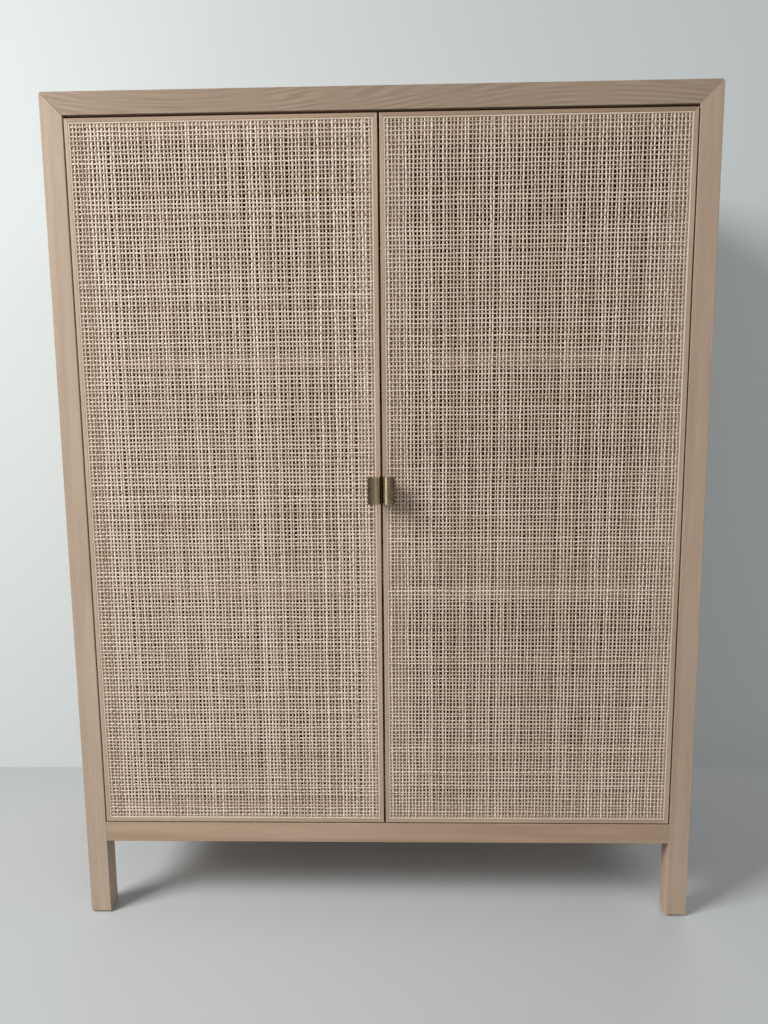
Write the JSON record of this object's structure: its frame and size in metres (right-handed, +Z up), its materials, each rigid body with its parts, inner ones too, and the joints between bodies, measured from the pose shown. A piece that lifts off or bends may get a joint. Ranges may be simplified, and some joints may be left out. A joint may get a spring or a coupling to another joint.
{
  "type": "storage cabinet",
  "caption": "Cabinet on four square legs, with paired cane doors in pale wood frames, loose shelves on pins and bent brass pulls at the meeting edges.",
  "frame": {"origin": "on the floor, under the middle of the bounding box, with the reach of the pulls counted in", "axes": "+X to the right as seen from the front, +Y from the doors towards the wall, +Z up"},
  "size_m": [0.9, 0.42, 1.18],
  "materials": {
    "ash": "pale matt lacquer over ash",
    "cane": "natural woven cane, left bare",
    "cane_spline": "natural reed spline",
    "beech_dowel": "plain beech",
    "antique_brass": "aged, satin",
    "zinc_steel": "zinc plated",
    "glide_plastic": "matt",
    "bumper_rubber": "soft, matt"
  },
  "bodies": {
    "case": {"back_board": "ash", "back_board_screws": "zinc_steel", "base_board": "ash", "board_dowels": "beech_dowel", "catch_magnets": "zinc_steel", "door_stop": "ash", "foot_glides": "glide_plastic", "frame_dowels": "beech_dowel", "front_bottom_rail": "ash", "front_left_post": "ash", "front_right_post": "ash", "front_top_rail": "ash", "left_bottom_rail": "ash", "left_hinge_case_barrels": "antique_brass", "left_side_board": "ash", "left_top_rail": "ash", "lower_shelf": "ash", "rear_bottom_rail": "ash", "rear_left_post": "ash", "rear_right_post": "ash", "rear_top_rail": "ash", "right_bottom_rail": "ash", "right_hinge_case_barrels": "antique_brass", "right_side_board": "ash", "right_top_rail": "ash", "shelf_pins": "zinc_steel", "top_board": "ash", "upper_shelf": "ash", "wall_bracket": "zinc_steel", "wall_bracket_screws": "zinc_steel"},
    "left_door": {"left_door_hinge_stile": "ash", "left_door_meeting_stile": "ash", "left_door_top_rail": "ash", "left_door_bottom_rail": "ash", "left_door_cane": "cane", "left_door_spline": "cane_spline", "left_pull": "antique_brass", "left_pull_screws": "antique_brass", "left_door_strike": "zinc_steel", "left_door_bumper": "bumper_rubber", "left_hinge_door_barrels": "antique_brass"},
    "left_hinge_case_links": {"left_hinge_case_links": "antique_brass"},
    "left_hinge_door_links": {"left_hinge_door_links": "antique_brass"},
    "right_door": {"right_door_hinge_stile": "ash", "right_door_meeting_stile": "ash", "right_door_top_rail": "ash", "right_door_bottom_rail": "ash", "right_door_cane": "cane", "right_door_spline": "cane_spline", "right_pull": "antique_brass", "right_pull_screws": "antique_brass", "right_door_strike": "zinc_steel", "right_door_bumper": "bumper_rubber", "right_hinge_door_barrels": "antique_brass"},
    "right_hinge_case_links": {"right_hinge_case_links": "antique_brass"},
    "right_hinge_door_links": {"right_hinge_door_links": "antique_brass"}
  },
  "joints": [
    {"name": "left_door_swing", "type": "hinge", "parent": "case", "child": "left_door", "pos_m": [-0.419, -0.19, 0.648], "axis": [0, 0, -1], "range_deg": [0, 110]},
    {"name": "left_case_links_fold", "type": "hinge", "parent": "case", "child": "left_hinge_case_links", "pos_m": [-0.424, -0.1825, 0.648], "axis": [0, 0, -1], "range_deg": [0, 94]},
    {"name": "left_door_links_fold", "type": "hinge", "parent": "left_door", "child": "left_hinge_door_links", "pos_m": [-0.414, -0.1825, 0.648], "axis": [0, 0, 1], "range_deg": [0, 94]},
    {"name": "right_door_swing", "type": "hinge", "parent": "case", "child": "right_door", "pos_m": [0.419, -0.19, 0.648], "axis": [0, 0, 1], "range_deg": [0, 110]},
    {"name": "right_case_links_fold", "type": "hinge", "parent": "case", "child": "right_hinge_case_links", "pos_m": [0.424, -0.1825, 0.648], "axis": [0, 0, 1], "range_deg": [0, 94]},
    {"name": "right_door_links_fold", "type": "hinge", "parent": "right_door", "child": "right_hinge_door_links", "pos_m": [0.414, -0.1825, 0.648], "axis": [0, 0, -1], "range_deg": [0, 94]}
  ],
  "couplings": [
    {"joint": "left_case_links_fold", "follows": "left_door_swing", "ratio": 0.85},
    {"joint": "left_door_links_fold", "follows": "left_door_swing", "ratio": 0.85},
    {"joint": "right_case_links_fold", "follows": "right_door_swing", "ratio": 0.85},
    {"joint": "right_door_links_fold", "follows": "right_door_swing", "ratio": 0.85}
  ]
}
